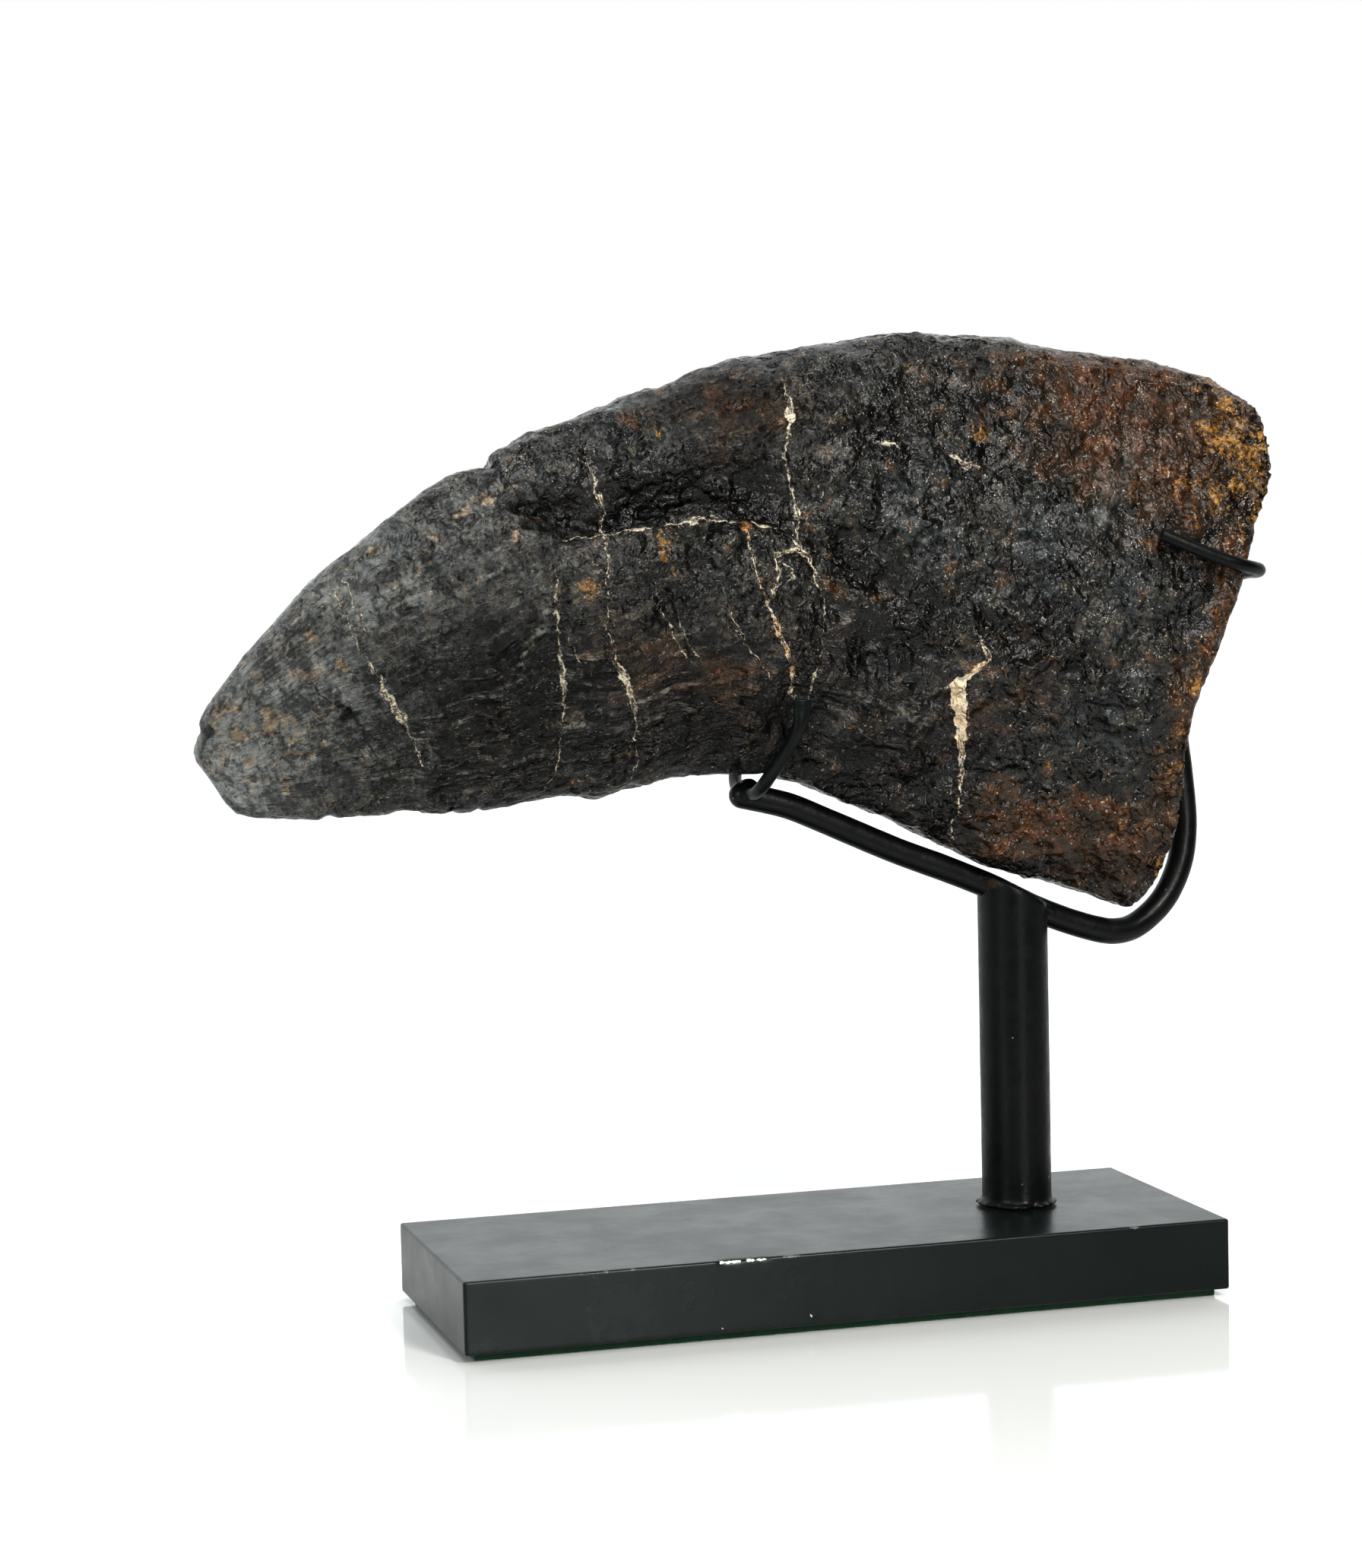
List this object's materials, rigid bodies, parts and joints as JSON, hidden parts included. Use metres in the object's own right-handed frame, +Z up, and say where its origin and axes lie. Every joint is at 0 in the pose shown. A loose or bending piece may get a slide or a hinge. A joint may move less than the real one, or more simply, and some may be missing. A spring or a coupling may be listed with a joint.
{
  "type": "dinosaur fossil claw",
  "caption": "Fossil claw of a large meat-eating dinosaur, held by bent wires on a round post over a flat rectangular display base.",
  "frame": {"origin": "centre of the felt pad's underside, on the surface that the stand rests on", "axes": "+Z up, +X along the base from the claw's tip to its jointed end, the claw's mid-plane is y = 0"},
  "size_m": [0.1958, 0.054, 0.1735],
  "materials": {
    "fossil_bone": "mineralised bone, near-black with rust brown and cream calcite veins, low waxed gloss",
    "black_lacquer": "satin black lacquer, small chips along the front edge",
    "green_felt": "thin dark green felt",
    "painted_steel": "satin black paint over steel rod and wire"
  },
  "bodies": {
    "root": {"fossil_claw": "fossil_bone", "base_block": "black_lacquer", "felt_pad": "green_felt", "post": "painted_steel", "cradle_rod": "painted_steel", "front_clip": "painted_steel", "rear_hook": "painted_steel"}
  },
  "joints": []
}
